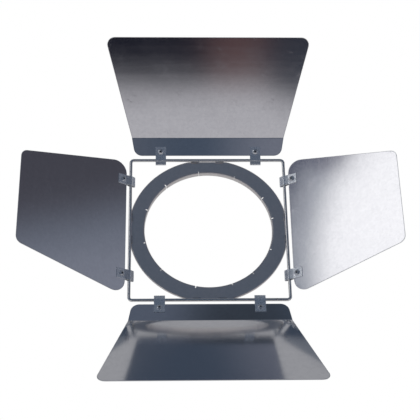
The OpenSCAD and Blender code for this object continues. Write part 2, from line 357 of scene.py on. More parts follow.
# %% Rolled grain
ROLLED_GRAIN, given, out = new_group(
    "rolled grain",
    (("Vector", "Vector", (0, 0, 0)), ("Lines", "Float", 900.0),
     ("Stretch", "Float", 30.0)),
    ("Grain", "Streaks"))
finest = xyz(ROLLED_GRAIN, X=maths(ROLLED_GRAIN, "DIVIDE", given["Lines"], given["Stretch"]),
             Y=given["Lines"], Z=given["Lines"])
along_lines = vector_maths(ROLLED_GRAIN, "MULTIPLY", given["Vector"], finest)
feed(ROLLED_GRAIN, out["Grain"], noise_at(ROLLED_GRAIN, along_lines, 1.0, 3.0, 0.6))
feed(ROLLED_GRAIN, out["Streaks"], noise_at(ROLLED_GRAIN, along_lines, 0.13, 2.0, 0.5))

# %% [markdown]
# Zinc freezes in flakes, and even bright plate keeps a faint cloud of them. A Voronoi pattern
# gives each flake its own tone, and a little noise bends the borders so that they don't look cut.

# %% Zinc flake
ZINC_FLAKE, given, out = new_group(
    "zinc flake",
    (("Vector", "Vector", (0, 0, 0)), ("Flakes", "Float", 260.0)),
    ("Flake", "Cloud"))
bend = node(ZINC_FLAKE, "ShaderNodeTexNoise", Vector=given["Vector"],
            Scale=maths(ZINC_FLAKE, "MULTIPLY", given["Flakes"], 2.1)).outputs["Color"]
bent = vector_maths(ZINC_FLAKE, "ADD", given["Vector"],
                    vector_maths(ZINC_FLAKE, "MULTIPLY", bend, (0.002, 0.002, 0.002)))
cells = node(ZINC_FLAKE, "ShaderNodeTexVoronoi", Vector=bent, Scale=given["Flakes"])
feed(ZINC_FLAKE, out["Flake"], node(ZINC_FLAKE, "ShaderNodeSeparateColor",
                                    Color=cells.outputs["Color"]).outputs["Red"])
wide = maths(ZINC_FLAKE, "MULTIPLY", given["Flakes"], 0.22)
feed(ZINC_FLAKE, out["Cloud"], noise_at(ZINC_FLAKE, given["Vector"], wide, 4.0, 0.6))

# %% [markdown]
# Hands leave soft smudges, and packing and tools leave fine scratches. A smudge is slow noise
# pushed through a smooth step. A scratch is the thin line where stretched noise crosses its middle
# value, kept only here and there by a second noise.

# %% Handling marks
HANDLING, given, out = new_group(
    "handling marks",
    (("Vector", "Vector", (0, 0, 0)), ("Size", "Float", 22.0)),
    ("Smudge", "Scratch"))
slow = noise_at(HANDLING, given["Vector"], given["Size"], 3.0, 0.55)
feed(HANDLING, out["Smudge"], ramp_between(HANDLING, slow, 0.48, 0.72))
scratches = 0.0
for angle, push in ((0.5, 3.1), (2.2, 7.7)):
    turned = node(HANDLING, "ShaderNodeVectorRotate", Vector=given["Vector"],
                  Angle=angle).outputs[0]
    longer = vector_maths(HANDLING, "MULTIPLY", turned, (26.0, 420.0, 26.0))
    line = noise_at(HANDLING, vector_maths(HANDLING, "ADD", longer, (push, push, push)), 1.0, 1.0)
    off_middle = maths(HANDLING, "ABSOLUTE", maths(HANDLING, "SUBTRACT", line, 0.5))
    kept = ramp_between(HANDLING, noise_at(HANDLING, given["Vector"], 31.0 + push), 0.60, 0.68)
    thin = maths(HANDLING, "MULTIPLY", ramp_between(HANDLING, off_middle, 0.012, 0.0), kept)
    scratches = maths(HANDLING, "MAXIMUM", scratches, thin)
feed(HANDLING, out["Scratch"], scratches)

# %% [markdown]
# Edges rub bare first. Each sheet piece carries its own distance from the nearest edge, stored on
# the mesh as the attribute "rim", so the wear follows the true outline. Noise varies its reach.

# %% Edge wear
EDGE_WEAR, given, out = new_group(
    "edge wear",
    (("Vector", "Vector", (0, 0, 0)), ("Distance", "Float", 1.0),
     ("Reach", "Float", 0.002)),
    ("Wear",))
ragged = noise_at(EDGE_WEAR, given["Vector"], 240.0, 4.0, 0.65)
reach = maths(EDGE_WEAR, "MULTIPLY", given["Reach"], maths(EDGE_WEAR, "MULTIPLY", ragged, 2.0))
feed(EDGE_WEAR, out["Wear"], ramp_between(EDGE_WEAR, given["Distance"], reach, 0.0))

# %% [markdown]
# ## The metals
#
# Each finish is a Principled shader with full Metallic, or nearly so where a passivated skin
# scatters some light. The groups above vary its colour by a few hundredths, its roughness by a few
# more, and give a bump height of a few thousandths of a millimetre.

# %% Metal helper
def new_metal(name, metallic=1.0):
    """A metal with a bare Principled shader. Returns the material, its tree and the shader."""
    metal = bpy.data.materials.new(name)
    metal.use_nodes = True
    shader = metal.node_tree.nodes["Principled BSDF"]
    shader.inputs["Metallic"].default_value = metallic
    return metal, metal.node_tree, shader


def attribute(tree, name):
    """A number that the mesh carries at each point."""
    made = node(tree, "ShaderNodeAttribute")
    made.attribute_name = name
    return made.outputs["Fac"]


def weighted(tree, base, *pairs):
    """The base, plus each value times its amount."""
    for value, amount in pairs:
        base = maths(tree, "MULTIPLY_ADD", value, amount, base)
    return base


def tint(tree, tone, mask, amount, colour):
    """The tone, drawn by an amount towards a colour where the mask is set."""
    return mix(tree, maths(tree, "MULTIPLY", mask, amount), tone, (*colour, 1))


def coat(tree, shader, tone, rough, height, depth):
    """Gives a metal its colour, its roughness and a bump of the depth."""
    dents = node(tree, "ShaderNodeBump", Strength=1.0, Distance=depth, Height=height)
    for name, value in (("Base Color", tone), ("Roughness", rough),
                        ("Normal", dents.outputs["Normal"])):
        feed(tree, shader.inputs[name], value)


# %% [markdown]
# The doors are bright rolled sheet, nearly a mirror. They read the map "sheet", which lays each
# door out flat in metres, so the rolling lines run along the rod on every door.

# %% Bright rolled sheet
SHEET_METAL, tree, shader = new_metal("bright rolled sheet")
flat = node(tree, "ShaderNodeUVMap")
flat.uv_map = "sheet"
flat = flat.outputs["UV"]
grain = place_group(tree, ROLLED_GRAIN, Vector=flat, Lines=1100.0, Stretch=24.0)
flake = place_group(tree, ZINC_FLAKE, Vector=flat, Flakes=270.0)
marks = place_group(tree, HANDLING, Vector=flat, Size=19.0)
wear = place_group(tree, EDGE_WEAR, Vector=flat, Distance=attribute(tree, "rim"),
                   Reach=0.0011)["Wear"]
mottle = weighted(tree, 0.0, (grain["Grain"], 0.35), (flake["Flake"], 0.30), (flake["Cloud"], 0.35))
mottle = ramp_between(tree, mottle, 0.20, 0.80)
tone = mix(tree, mottle, (0.738, 0.738, 0.756, 1), (0.794, 0.794, 0.809, 1))
tone = tint(tree, tone, marks["Smudge"], 0.06, (0.60, 0.60, 0.63))
tone = tint(tree, tone, wear, 0.55, (0.50, 0.51, 0.53))
rough = weighted(tree, 0.062, (grain["Streaks"], 0.030), (marks["Smudge"], 0.014),
                 (marks["Scratch"], 0.08), (wear, 0.22))
height = weighted(tree, grain["Grain"], (flake["Cloud"], 1.2), (marks["Scratch"], -1.5))
coat(tree, shader, tone, rough, height, 0.0018 * MM)

# %% [markdown]
# The ring is plated steel, pressed and then dulled by handling in the works. It is flat and looks
# blue-grey, because it mirrors the ceiling through a rougher skin. Its wear follows the circle of
# the bore, found from the distance to the beam's axis in Object coordinates.

# %% Plated ring steel
RING_STEEL, tree, shader = new_metal("plated ring steel", 0.82)
spot = node(tree, "ShaderNodeTexCoord").outputs["Object"]
ring_low, ring_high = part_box("ring_collar")
bore = (ring_high.x - ring_low.x) / 2
grain = place_group(tree, ROLLED_GRAIN, Vector=spot, Lines=800.0, Stretch=12.0)
flake = place_group(tree, ZINC_FLAKE, Vector=spot, Flakes=300.0)
marks = place_group(tree, HANDLING, Vector=spot, Size=30.0)
radius = node(tree, "ShaderNodeVectorMath", Vector=vector_maths(tree, "MULTIPLY", spot, (1, 1, 0)))
radius.operation = "LENGTH"
from_bore = maths(tree, "ABSOLUTE", maths(tree, "SUBTRACT", radius.outputs["Value"], bore))
wear = place_group(tree, EDGE_WEAR, Vector=spot, Distance=from_bore, Reach=0.0014)["Wear"]
tone = mix(tree, weighted(tree, 0.0, (flake["Flake"], 0.4), (flake["Cloud"], 0.6)),
           (0.80, 0.765, 0.745, 1), (0.94, 0.89, 0.86, 1))
tone = tint(tree, tone, marks["Smudge"], 0.14, (0.64, 0.62, 0.61))
tone = tint(tree, tone, wear, 0.5, (0.50, 0.50, 0.51))
rough = weighted(tree, 0.27, (grain["Grain"], 0.06), (marks["Smudge"], 0.08),
                 (marks["Scratch"], 0.10), (wear, 0.12))
height = weighted(tree, grain["Grain"], (flake["Cloud"], 2.0), (marks["Scratch"], -1.5))
coat(tree, shader, tone, rough, height, 0.004 * MM)

# %% [markdown]
# The rod was drawn through a die and plated bright. Its lines run along the wire and round the
# bends, which no fixed direction can follow. The sweep that makes the rod stores how far along and
# how far round each point is, and the metal reads those two attributes instead.

# %% Bright drawn rod
ROD_STEEL, tree, shader = new_metal("bright drawn rod")
turn = maths(tree, "MULTIPLY", attribute(tree, "around"), 2 * math.pi)
wrapped = xyz(tree, X=attribute(tree, "along"),
              Y=maths(tree, "MULTIPLY", maths(tree, "SINE", turn), 0.0025),
              Z=maths(tree, "MULTIPLY", maths(tree, "COSINE", turn), 0.0025))
grain = place_group(tree, ROLLED_GRAIN, Vector=wrapped, Lines=2600.0, Stretch=60.0)
marks = place_group(tree, HANDLING, Vector=wrapped, Size=42.0)
tone = mix(tree, grain["Streaks"], (0.80, 0.80, 0.79, 1), (0.92, 0.915, 0.90, 1))
tone = tint(tree, tone, marks["Smudge"], 0.22, (0.52, 0.52, 0.52))
rough = weighted(tree, 0.15, (grain["Streaks"], 0.08), (marks["Smudge"], 0.10),
                 (marks["Scratch"], 0.15))
height = weighted(tree, grain["Grain"], (marks["Scratch"], -1.0))
coat(tree, shader, tone, rough, height, 0.006 * MM)

# %% [markdown]
# Clips, screws, nuts and washers are zinc plated in a barrel. The plate has a cold blue tint, fine
# flakes and rubbed high points. The two metals share one recipe, and differ in the size of the
# flakes, their tone, their roughness and how much dirt has settled.

# %% Zinc plate
def zinc_plate(name, flakes, rough, dirt, dark, pale):
    metal, tree, shader = new_metal(name, 0.72)
    spot = node(tree, "ShaderNodeTexCoord").outputs["Object"]
    grain = place_group(tree, ROLLED_GRAIN, Vector=spot, Lines=1500.0, Stretch=3.0)
    flake = place_group(tree, ZINC_FLAKE, Vector=spot, Flakes=flakes)
    marks = place_group(tree, HANDLING, Vector=spot, Size=130.0)
    wear = place_group(tree, EDGE_WEAR, Vector=spot, Distance=attribute(tree, "rim"),
                       Reach=0.0006)["Wear"]
    tone = mix(tree, weighted(tree, 0.0, (flake["Flake"], 0.5), (flake["Cloud"], 0.5)), dark, pale)
    tone = tint(tree, tone, marks["Smudge"], dirt, (0.30, 0.30, 0.30))
    tone = tint(tree, tone, wear, 0.5, (0.86, 0.86, 0.86))
    # Painted shade: the points marked as inside the screw's cross recess are turned near black.
    tone = mix(tree, attribute(tree, "painted_recess_shade"), tone, (0.025, 0.027, 0.03, 1))
    rough = weighted(tree, rough, (flake["Flake"], 0.08), (marks["Smudge"], 0.12),
                     (marks["Scratch"], 0.12), (wear, -0.08))
    height = weighted(tree, flake["Cloud"], (grain["Grain"], 0.5), (marks["Scratch"], -0.8))
    coat(tree, shader, tone, rough, height, 0.005 * MM)
    return metal


CLIP_ZINC = zinc_plate("zinc plated strip", 900.0, 0.24, 0.10,
                       (0.86, 0.90, 0.94, 1), (0.95, 0.97, 0.99, 1))
BOLT_ZINC = zinc_plate("zinc plated fastener", 1300.0, 0.20, 0.25,
                       (0.74, 0.78, 0.82, 1), (0.88, 0.90, 0.92, 1))

# %% [markdown]
# A weld bead cools in ripples and keeps a skin of straw and blue oxide beside it. The shape has
# the ripples already, so the metal only adds pits, a broken tint and some unpolished roughness.

# %% Weld metal
WELD_METAL, tree, shader = new_metal("weld metal")
spot = node(tree, "ShaderNodeTexCoord").outputs["Object"]
pits = noise_at(tree, spot, 1400.0, 4.0, 0.7)
straw = ramp_between(tree, noise_at(tree, spot, 210.0, 3.0, 0.6), 0.35, 0.65)
tone = mix(tree, straw, (0.47, 0.49, 0.55, 1), (0.60, 0.575, 0.53, 1))
tone = mix(tree, ramp_between(tree, pits, 0.42, 0.30), tone, (0.20, 0.19, 0.19, 1))
coat(tree, shader, tone, weighted(tree, 0.22, (pits, 0.35)), pits, 0.05 * MM)
print("metals:", [metal.name for metal in bpy.data.materials if metal.name != "pale sweep"])

# %% [markdown]
# ## Making pieces
#
# Every piece ends the same way: its mesh gets its metal and smooth shading with sharp creases, and
# its object rides a body and stands in for the solids it replaces. The object stays
# at the origin, so a piece made in a door's own axes has that place put into its mesh first.

# %% Finish a piece
def plain_mesh(holder):
    """The holder's mesh with its modifier applied. The holder itself is removed."""
    graph = bpy.context.evaluated_depsgraph_get()
    mesh = bpy.data.meshes.new_from_object(holder.evaluated_get(graph), depsgraph=graph,
                                           preserve_all_data_layers=True)
    bpy.data.objects.remove(holder)
    return mesh


def settle_normals(mesh):
    """Lets wide faces decide the shading, so that a bevel doesn't dent the flat beside it."""
    holder = linked("settle", mesh)
    modifier = holder.modifiers.new("settle", "WEIGHTED_NORMAL")
    modifier.keep_sharp, modifier.weight = True, 100
    return plain_mesh(holder)


def finish_piece(name, mesh, metal, body, replaced, axes=None, crease=32):
    if axes is not None:
        mesh.transform(axes)
    mesh.materials.clear()
    mesh.materials.append(metal)
    mesh.shade_smooth()
    mesh.set_sharp_from_angle(angle=math.radians(crease))
    mesh = settle_normals(mesh)
    mesh.name = name
    piece = linked(name, mesh)
    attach(piece, body)
    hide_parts(*replaced)
    print(name, len(mesh.polygons), "faces")


def to_mesh(bm, name="mesh"):
    mesh = bpy.data.meshes.new(name)
    bmesh.ops.recalc_face_normals(bm, faces=bm.faces)
    bm.to_mesh(mesh)
    bm.free()
    return mesh


def merged_copy(node_name, axes=Matrix.Identity(4), flatness=0.4):
    """A copy of a solid in the given axes, with its loose triangles joined into whole faces."""
    bm = bmesh.new()
    bm.from_mesh(frame["nodes"][node_name].data)
    bmesh.ops.transform(bm, matrix=axes.inverted(), verts=bm.verts)
    bmesh.ops.remove_doubles(bm, verts=bm.verts, dist=0.002 * MM)
    bmesh.ops.dissolve_limit(bm, angle_limit=math.radians(flatness), verts=bm.verts, edges=bm.edges)
    return bm


# %% [markdown]
# ## Geometry Nodes: a small kit
#
# A tree is a recipe with named sizes. This helper runs one on a start mesh and hands back a plain
# mesh, so no modifier is left on the piece. Inputs are set by their identifiers, which stay the
# same when a name changes.

# %% Geometry Nodes helpers
def new_recipe(name, inputs):
    """An empty Geometry Nodes tree with a geometry input, the given inputs and an output."""
    tree = bpy.data.node_groups.new(name, "GeometryNodeTree")
    tree.interface.new_socket("Geometry", in_out="INPUT", socket_type="NodeSocketGeometry")
    for label, kind in inputs:
        tree.interface.new_socket(label, in_out="INPUT", socket_type="NodeSocket" + kind)
    tree.interface.new_socket("Geometry", in_out="OUTPUT", socket_type="NodeSocketGeometry")
    return tree, tree.nodes.new("NodeGroupInput").outputs


def end_recipe(tree, geometry, metal):
    whole = node(tree, "GeometryNodeRealizeInstances", Geometry=geometry)
    coated = node(tree, "GeometryNodeSetMaterial", Geometry=whole.outputs[0], Material=metal)
    tree.links.new(coated.outputs[0], tree.nodes.new("NodeGroupOutput").inputs[0])


def run_recipe(tree, start=None, **values):
    holder = linked("maker", start or bpy.data.meshes.new("nothing"))
    modifier = holder.modifiers.new("recipe", "NODES")
    modifier.node_group = tree
    for item in tree.interface.items_tree:
        if item.in_out == "INPUT" and item.name.replace(" ", "_") in values:
            modifier[item.identifier] = values[item.name.replace(" ", "_")]
    return plain_mesh(holder)


def store(tree, geometry, name, value):
    """Keeps a number at each point of the geometry under a name."""
    made = node(tree, "GeometryNodeStoreNamedAttribute", Geometry=geometry, Name=name)
    made.data_type, made.domain = "FLOAT", "POINT"
    feed(tree, made.inputs["Value"], value)
    return made.outputs[0]


def points_mesh(places):
    mesh = bpy.data.meshes.new("places")
    mesh.from_pydata(places, [], [])
    return mesh


# %% [markdown]
# ## The rod frame
#
# The real frame is one length of 5 mm wire bent round four pins. The same steps make it here: a
# square path, a fillet at each corner, and a round section swept along it. The path's length and
# the section's turn are stored on the way, for the drawing lines of the metal.

# %% Bend the rod
rod_low, rod_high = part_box("rod_frame")
ROD_D = rod_high.z - rod_low.z
ROD_SIDE = rod_high.x - rod_low.x - ROD_D
ROD_Z = (rod_low.z + rod_high.z) / 2
ROD_BEND = 5 * MM

BENT_ROD, given = new_recipe("bent rod", (
    ("Side", "Float"), ("Bend Radius", "Float"), ("Rod Radius", "Float"), ("Height", "Float"),
    ("Metal", "Material")))
path = node(BENT_ROD, "GeometryNodeCurvePrimitiveQuadrilateral", Width=given["Side"],
            Height=given["Side"])
path = node(BENT_ROD, "GeometryNodeSubdivideCurve", Curve=path.outputs[0], Cuts=0)
path = node(BENT_ROD, "GeometryNodeFilletCurve", Curve=path.outputs[0], Radius=given["Bend Radius"])
path.mode = "POLY"
path.inputs["Count"].default_value = 14
path = node(BENT_ROD, "GeometryNodeSubdivideCurve", Curve=path.outputs[0], Cuts=3)
travel = node(BENT_ROD, "GeometryNodeSplineParameter")
path = store(BENT_ROD, path.outputs[0], "along", travel.outputs["Length"])
section = node(BENT_ROD, "GeometryNodeCurvePrimitiveCircle", Resolution=32,
               Radius=given["Rod Radius"])
section = store(BENT_ROD, section.outputs[0], "around", travel.outputs["Factor"])
swept = node(BENT_ROD, "GeometryNodeCurveToMesh", Curve=path)
BENT_ROD.links.new(section, swept.inputs["Profile Curve"])
raised = node(BENT_ROD, "GeometryNodeTransform", Geometry=swept.outputs[0],
              Translation=xyz(BENT_ROD, Z=given["Height"]))
end_recipe(BENT_ROD, raised.outputs[0], given["Metal"])

rod_mesh = run_recipe(BENT_ROD, Side=ROD_SIDE, Bend_Radius=ROD_BEND, Rod_Radius=ROD_D / 2,
                      Height=ROD_Z, Metal=ROD_STEEL)
finish_piece("frame_rod", rod_mesh, ROD_STEEL, FRAME_BODY, ["rod_frame"])

# %% [markdown]
# ## Weld beads
#
# A bead is a short run of overlapping pools. A line with a radius that rises and falls, swept by a
# round section, gives the ripples and the rounded ends in one closed skin. One recipe makes every
# bead: eight long ones along the ring's flats, and the fat collar where the rod's ends were joined.

# %% Weld bead recipe
BEAD, given = new_recipe("weld beads", (
    ("Length", "Float"), ("Radius", "Float"), ("Ripples", "Float"),
    ("Ripple Depth", "Float"), ("Metal", "Material")))
half = maths(BEAD, "MULTIPLY", given["Length"], 0.5)
line = node(BEAD, "GeometryNodeCurvePrimitiveLine",
            Start=xyz(BEAD, X=maths(BEAD, "MULTIPLY", half, -1.0)), End=xyz(BEAD, X=half))
line = node(BEAD, "GeometryNodeResampleCurve", Curve=line.outputs[0], Count=72)
share = node(BEAD, "GeometryNodeSplineParameter").outputs["Factor"]
from_middle = maths(BEAD, "ABSOLUTE", weighted(BEAD, -1.0, (share, 2.0)))
rounded = maths(BEAD, "SQRT", maths(BEAD, "SUBTRACT", 1.0, maths(
    BEAD, "MINIMUM", maths(BEAD, "POWER", from_middle, 7.0), 0.9985)))
wave = maths(BEAD, "PINGPONG", maths(BEAD, "MULTIPLY", share, given["Ripples"]), 0.5)
wave = maths(BEAD, "MULTIPLY", wave, given["Ripple Depth"])
wander = noise_at(BEAD, xyz(BEAD, X=maths(BEAD, "MULTIPLY", share, 6.0)), 1.0)
uneven = maths(BEAD, "ADD", wave, weighted(BEAD, 0.90 - 0.05, (wander, 0.10)))
fatness = maths(BEAD, "MULTIPLY", rounded, uneven)
ring_section = node(BEAD, "GeometryNodeCurvePrimitiveCircle", Resolution=20, Radius=given["Radius"])
bead = node(BEAD, "GeometryNodeCurveToMesh", Curve=line.outputs[0], Scale=fatness)
BEAD.links.new(ring_section.outputs[0], bead.inputs["Profile Curve"])
bead.inputs["Fill Caps"].default_value = True
turn = node(BEAD, "GeometryNodeInputNamedAttribute", Name="turn")
spread = node(BEAD, "GeometryNodeInstanceOnPoints", Points=given["Geometry"],
              Instance=bead.outputs[0])
feed(BEAD, spread.inputs["Rotation"], xyz(BEAD, Z=turn.outputs["Attribute"]))
end_recipe(BEAD, spread.outputs[0], given["Metal"])

# %% Lay the beads
def bead_places(boxes):
    """Middles of the beads, with the turn that lays each one along its longer side."""
    places = [(low + high) / 2 for low, high in boxes]
    turns = [0.0 if (high - low).x > (high - low).y else math.pi / 2 for low, high in boxes]
    mesh = points_mesh(places)
    mesh.attributes.new("turn", "FLOAT", "POINT").data.foreach_set("value", turns)
    return mesh


beads = islands("ring_welds")
bead_long = max(max((high - low).x, (high - low).y) for low, high in beads)
bead_mesh = run_recipe(BEAD, bead_places(beads), Length=bead_long, Radius=1.25 * MM, Ripples=11.0,
                       Ripple_Depth=0.22, Metal=WELD_METAL)
finish_piece("ring_weld_beads", bead_mesh, WELD_METAL, FRAME_BODY, ["ring_welds"])

butt_low, butt_high = islands("rod_butt_weld")[0]
butt_mesh = run_recipe(BEAD, bead_places([(butt_low, butt_high)]), Length=(butt_high - butt_low).x,
                       Radius=(butt_high - butt_low).z / 2, Ripples=2.0, Ripple_Depth=0.12,
                       Metal=WELD_METAL)
finish_piece("frame_butt_weld", butt_mesh, WELD_METAL, FRAME_BODY, ["rod_butt_weld"])

# %% [markdown]
# ## The pressed ring
#
# A flat blank was pressed so that a collar turns back at the opening and a narrow lip turns back at
# the rim. The section is measured from the solid: radii, depths and sheet. It is spun round the
# beam's axis, cut by four flats, and its collar is notched.

# %% Spin the ring
plate_low, plate_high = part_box("ring_plate")
FLAT = plate_high.x
RING_TOP, LIP_BOTTOM = plate_high.z, plate_low.z
plate_radii = [vertex.co.xy.length for vertex in frame["nodes"]["ring_plate"].data.vertices]
collar_radii = [vertex.co.xy.length for vertex in frame["nodes"]["ring_collar"].data.vertices]
RING_R, BORE_R = max(plate_radii), min(collar_radii)
RING_SHEET = max(collar_radii) - BORE_R
BEND_R = RING_TOP - ring_high.z
SPIN_STEPS = 360
BEND_STEPS = 7
COLLAR_STRAIGHT = 3.4 * MM
FLAT_MARGIN = 5 * MM
for label, value in (("bore", BORE_R), ("rim", RING_R), ("sheet", RING_SHEET)):
    print("ring", label, round(value / MM, 2))


def at_turn(radius, angle, height=0.0):
    """The point at a radius and an angle round z."""
    return (radius * math.cos(angle), radius * math.sin(angle), height)


def cut_across(bm, point, normal, **how):
    """Cuts the whole mesh with a plane."""
    bmesh.ops.bisect_plane(bm, geom=bm.verts[:] + bm.edges[:] + bm.faces[:], plane_co=point,
                           plane_no=normal, **how)


def arc_points(centre, radius, start, stop, steps=BEND_STEPS):
    angles = [math.radians(start + (stop - start) * i / steps) for i in range(steps + 1)]
    return [(centre[0] + radius * math.cos(a), centre[1] + radius * math.sin(a)) for a in angles]


inner_bend = (BORE_R + BEND_R, RING_TOP - BEND_R)
outer_bend = (RING_R - BEND_R, RING_TOP - BEND_R)
nose = RING_SHEET * 0.3
ring_middle, underside = (BORE_R + RING_R) / 2, RING_TOP - RING_SHEET
collar_outside = BORE_R + RING_SHEET
section = [(BORE_R + nose, 0.0), (BORE_R + nose * 0.3, nose * 0.3), (BORE_R, nose),
           (BORE_R, COLLAR_STRAIGHT)]
section += arc_points(inner_bend, BEND_R, 180, 90)
section += [(BORE_R + FLAT_MARGIN, RING_TOP), (ring_middle, RING_TOP),
            (RING_R - FLAT_MARGIN, RING_TOP)]
section += arc_points(outer_bend, BEND_R, 90, 0)
section += [(RING_R, LIP_BOTTOM + nose * 0.5), (RING_R - nose * 0.5, LIP_BOTTOM),
            (RING_R - RING_SHEET, LIP_BOTTOM)]
section += arc_points(outer_bend, BEND_R - RING_SHEET, 0, 90)
section += [(ring_middle, underside)]
section += arc_points(inner_bend, BEND_R - RING_SHEET, 90, 180)
section += [(collar_outside, COLLAR_STRAIGHT), (collar_outside, nose), (collar_outside - nose, 0.0)]

spun = bmesh.new()
hoops = []
for step in range(SPIN_STEPS):
    a = 2 * math.pi * step / SPIN_STEPS
    hoops.append([spun.verts.new(at_turn(r, a, z)) for r, z in section])
for step in range(SPIN_STEPS):
    here, there = hoops[step], hoops[(step + 1) % SPIN_STEPS]
    for i in range(len(section)):
        j = (i + 1) % len(section)
        spun.faces.new((here[i], there[i], there[j], here[j]))
for turn in range(4):
    outward = Vector(at_turn(1.0, turn * math.pi / 2))
    cut_across(spun, outward * FLAT, outward, clear_outer=True)
    bmesh.ops.holes_fill(spun, edges=[e for e in spun.edges if e.is_boundary], sides=0)
spun_mesh = to_mesh(spun, "ring")

# %% [markdown]
# The notches sit unevenly round the collar, as if sawn by hand. The gaps between the collar's parts
# give each one's bearing and width. A recipe then turns a cutter block outwards on a point for each
# gap, sets its width, and cuts them all with one Boolean.

# %% Measure the notches
def collar_gaps():
    """The bearing and the width of each gap between the parts of the collar."""
    spans = []
    for points in solids_of("ring_collar"):
        points = [point for point in points if point.xy.length < BORE_R + 0.05 * MM]
        whole = sum((point.xy for point in points), Vector((0, 0)))
        middle_turn = math.atan2(whole.y, whole.x)
        offsets = [math.remainder(math.atan2(p.y, p.x) - middle_turn, 2 * math.pi) for p in points]
        spans.append((middle_turn + min(offsets), middle_turn + max(offsets)))
    spans.sort(key=lambda span: span[0] % (2 * math.pi))
    gaps = []
    for here, there in zip(spans, spans[1:] + spans[:1]):
        gap = (there[0] - here[1]) % (2 * math.pi)
        gaps.append((here[1] + gap / 2, 2 * BORE_R * math.sin(gap / 2)))
    return gaps


gaps = collar_gaps()
print("notches:", [(round(math.degrees(turn) % 360, 1), round(width / MM, 2))
                   for turn, width in gaps])

# %% Cut the notches
NOTCHED, given = new_recipe("notched ring", (
    ("Ring", "Object"), ("Cutter", "Vector"), ("Metal", "Material")))
blank = node(NOTCHED, "GeometryNodeObjectInfo", Object=given["Ring"]).outputs["Geometry"]
turn = node(NOTCHED, "GeometryNodeInputNamedAttribute", Name="turn").outputs["Attribute"]
width = node(NOTCHED, "GeometryNodeInputNamedAttribute", Name="width").outputs["Attribute"]
cutter = node(NOTCHED, "GeometryNodeMeshCube", Size=given["Cutter"])
cutters = node(NOTCHED, "GeometryNodeInstanceOnPoints", Points=given["Geometry"],
               Instance=cutter.outputs[0])
feed(NOTCHED, cutters.inputs["Rotation"], xyz(NOTCHED, Z=turn))
feed(NOTCHED, cutters.inputs["Scale"], xyz(NOTCHED, X=1.0, Y=width, Z=1.0))
solid_cutters = node(NOTCHED, "GeometryNodeRealizeInstances", Geometry=cutters.outputs[0])
carved = NOTCHED.nodes.new("GeometryNodeMeshBoolean")
carved.operation = "DIFFERENCE"
NOTCHED.links.new(blank, carved.inputs["Mesh 1"])
NOTCHED.links.new(solid_cutters.outputs[0], carved.inputs["Mesh 2"])
end_recipe(NOTCHED, carved.outputs["Mesh"], given["Metal"])

NOTCH_DEPTH = 4.2 * MM
CUTTER_OVERRUN = 2 * MM
CUTTER_HEIGHT = 30 * MM
cutter_length = NOTCH_DEPTH + CUTTER_OVERRUN
cutter_at = BORE_R + NOTCH_DEPTH - cutter_length / 2
places = points_mesh([at_turn(cutter_at, turn) for turn, width in gaps])
for label, values in zip(("turn", "width"), zip(*gaps)):
    places.attributes.new(label, "FLOAT", "POINT").data.foreach_set("value", values)
blank_ring = linked("blank_ring", spun_mesh)
ring_mesh = run_recipe(NOTCHED, places, Ring=blank_ring, Cutter=(cutter_length, 1.0, CUTTER_HEIGHT),
                       Metal=RING_STEEL)
bpy.data.objects.remove(blank_ring)
finish_piece("ring_pressing", ring_mesh, RING_STEEL, FRAME_BODY,
             ["ring_plate", "ring_collar"])

# %% [markdown]
# ## The four doors
#
# Each door is one cut sheet, and the upper and lower ones are folded once as well. A real sheet has
# rolled-over edges, a trace of waviness and no hard corners. So the solid's faces are joined, every
# outline edge gets a small bevel, and a grid is cut through it to carry the waviness, which must be
# real shape: it is what bends the reflections.

# %% Sheet helpers
SHEET_BEVEL = 0.22 * MM
GRID = 11 * MM
WAVE_HEIGHT = 0.035 * MM
WAVE_SIZE = 0.085
STILL_AT_BOLT = 45 * MM
STILL_AT_RIM = 12 * MM
BOLT_REACH = 3 * MM
LONG_EDGE = 30 * MM


def outline_distance(bm, edges):
    """Sets each point's distance from the nearest of the edges, as the attribute "rim"."""
    rim = bm.verts.layers.float.new("rim")
    spans = [(edge.verts[0].co.copy(), edge.verts[1].co.copy()) for edge in edges]
    def measure():
        for vertex in bm.verts:
            nearest = 1.0
            for a, b in spans:
                line = b - a
                share = max(0.0, min(1.0, (vertex.co - a).dot(line) / line.length_squared))
                nearest = min(nearest, (vertex.co - a - line * share).length)
            vertex[rim] = nearest
    return measure


def cut_grid(bm, low, high, step):
    """Cuts the whole mesh with planes across x and y."""
    for axis in (0, 1):
        count = max(1, round((high[axis] - low[axis]) / step))
        for i in range(1, count):
            point = Vector((0, 0, 0))
            point[axis] = low[axis] + (high[axis] - low[axis]) * i / count
            across = Vector((0, 0, 0))
            across[axis] = 1.0
            cut_across(bm, point, across)


def rim_loops(bm, straight, insets):
    """Cuts beside each long straight outline edge, so that shading turns only near the rim."""
    for a, b, inward in straight:
        for inset in insets:
            cut_across(bm, a + inward * inset, inward)


def sharp_edges(bm, degrees):
    return [e for e in bm.edges
            if len(e.link_faces) == 2 and e.calc_face_angle(0) > math.radians(degrees)]


def soften(bm, edges, width):
    """A small rounded bevel along the edges."""
    bmesh.ops.bevel(bm, geom=edges, offset=width, segments=2, profile=0.5, affect="EDGES",
                    clamp_overlap=True)


def split_large(bm):
    """Triangulates the faces with more than four corners."""
    bmesh.ops.triangulate(bm, faces=[f for f in bm.faces if len(f.verts) > 4])


